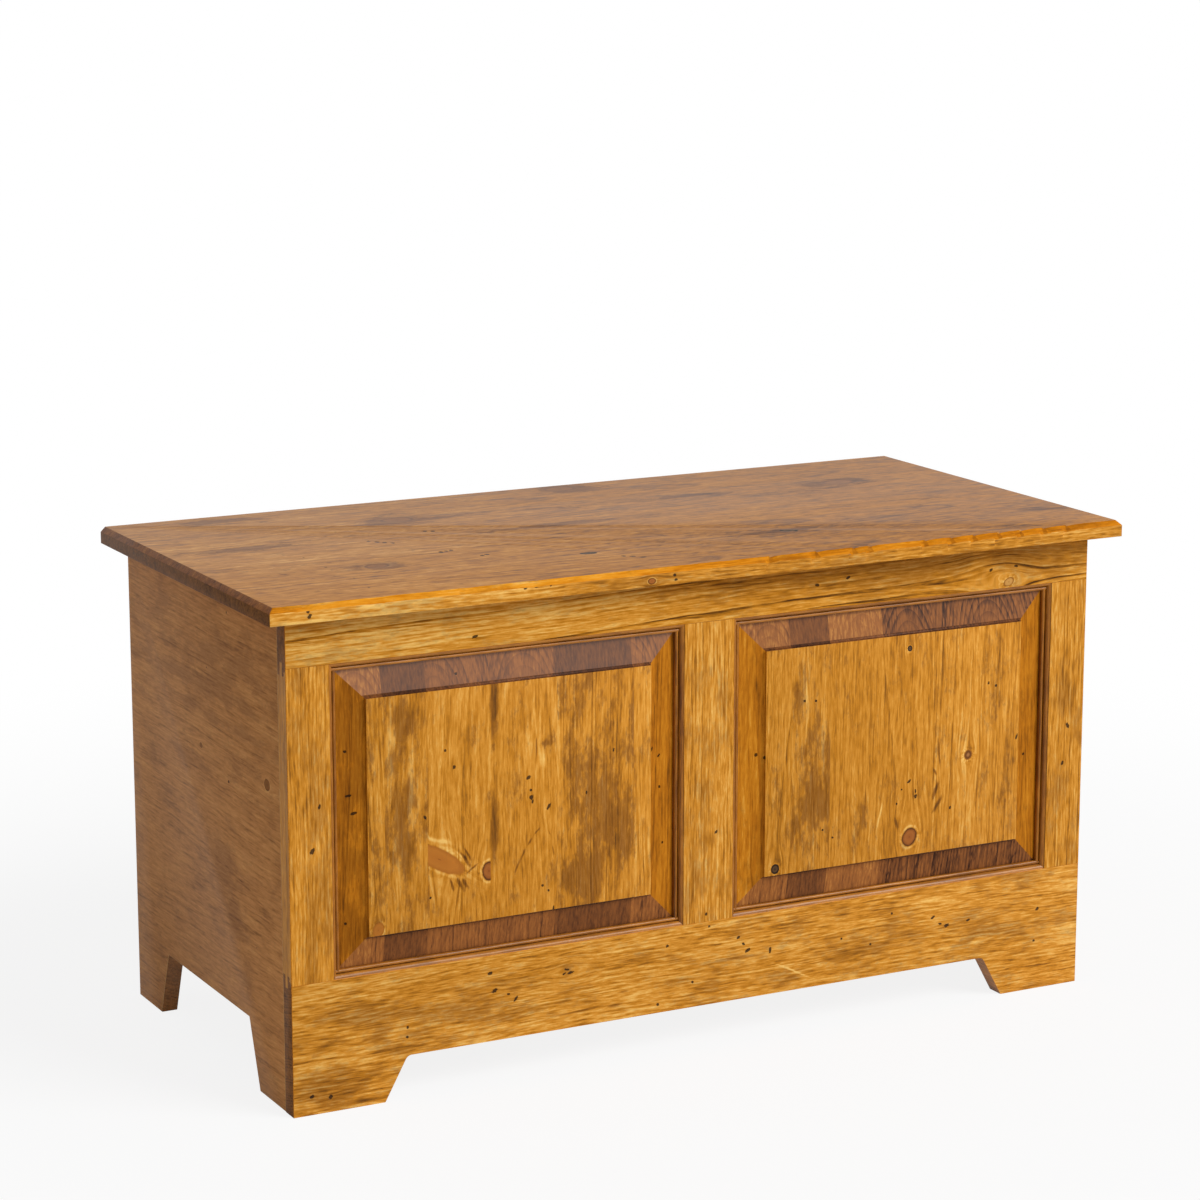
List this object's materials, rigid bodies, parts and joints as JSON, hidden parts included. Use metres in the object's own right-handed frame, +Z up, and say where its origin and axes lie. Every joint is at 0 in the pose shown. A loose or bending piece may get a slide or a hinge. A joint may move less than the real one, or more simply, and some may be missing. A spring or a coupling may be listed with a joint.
{
  "type": "blanket chest",
  "caption": "Lift-lid pine blanket chest with a raised-panel front, bracket feet cut into the boards, butt hinges and sliding lid stays.",
  "frame": {"origin": "on the floor under the middle of the lid's outline", "axes": "+X along the chest to the viewer's right when facing the panels, +Y from the front to the back, +Z up"},
  "size_m": [1.067, 0.51, 0.564],
  "materials": {
    "lid_pine": "satin stained and waxed pine",
    "frame_pine": "satin honey stained pine",
    "panel_pine": "satin honey stained pine, glazed bevels",
    "side_pine": "satin stained pine",
    "back_pine": "matt stained pine",
    "plain_pine": "sawn pine",
    "plywood": "sanded plywood",
    "brass": "aged satin brass",
    "screw_steel": "yellow passivated steel"
  },
  "bodies": {
    "carcass": {"front_top_rail": "frame_pine", "front_bottom_rail": "frame_pine", "front_centre_stile": "frame_pine", "back_panel": "back_pine", "bottom_panel": "plywood", "front_cleat": "plain_pine", "back_cleat": "plain_pine", "cleat_screws": "screw_steel", "back_screws": "screw_steel", "hinge_back_screws": "screw_steel", "stay_side_screws": "screw_steel", "front_left_stile": "frame_pine", "front_left_panel": "panel_pine", "left_side": "side_pine", "left_cleat": "plain_pine", "left_hinge_back_leaf": "brass", "left_hinge_pin": "brass", "left_stay_side_plate": "brass", "left_stay_stud": "brass", "front_right_stile": "frame_pine", "front_right_panel": "panel_pine", "right_side": "side_pine", "right_cleat": "plain_pine", "right_hinge_back_leaf": "brass", "right_hinge_pin": "brass", "right_stay_side_plate": "brass", "right_stay_stud": "brass"},
    "lid": {"lid_board": "lid_pine", "batten_screws": "screw_steel", "hinge_lid_screws": "screw_steel", "stay_lid_screws": "screw_steel", "left_batten": "plain_pine", "left_hinge_lid_leaf": "brass", "left_stay_lid_bracket": "brass", "left_stay_rivet": "brass", "right_batten": "plain_pine", "right_hinge_lid_leaf": "brass", "right_stay_lid_bracket": "brass", "right_stay_rivet": "brass"},
    "left_stay": {"left_stay_arm": "brass"},
    "right_stay": {"right_stay_arm": "brass"}
  },
  "joints": [
    {"name": "lid_hinge", "type": "hinge", "parent": "carcass", "child": "lid", "pos_m": [0, 0.248, 0.545], "axis": [-1, 0, 0], "range_deg": [0, 95]},
    {"name": "left_stay_pivot", "type": "hinge", "parent": "lid", "child": "left_stay", "pos_m": [-0.48295, 0.08861, 0.531], "axis": [-1, 0, 0], "range_deg": [-47.5, 0]},
    {"name": "right_stay_pivot", "type": "hinge", "parent": "lid", "child": "right_stay", "pos_m": [0.48295, 0.08861, 0.531], "axis": [-1, 0, 0], "range_deg": [-47.5, 0]}
  ],
  "couplings": [
    {"joint": "left_stay_pivot", "follows": "lid_hinge", "ratio": -0.5},
    {"joint": "right_stay_pivot", "follows": "lid_hinge", "ratio": -0.5}
  ]
}
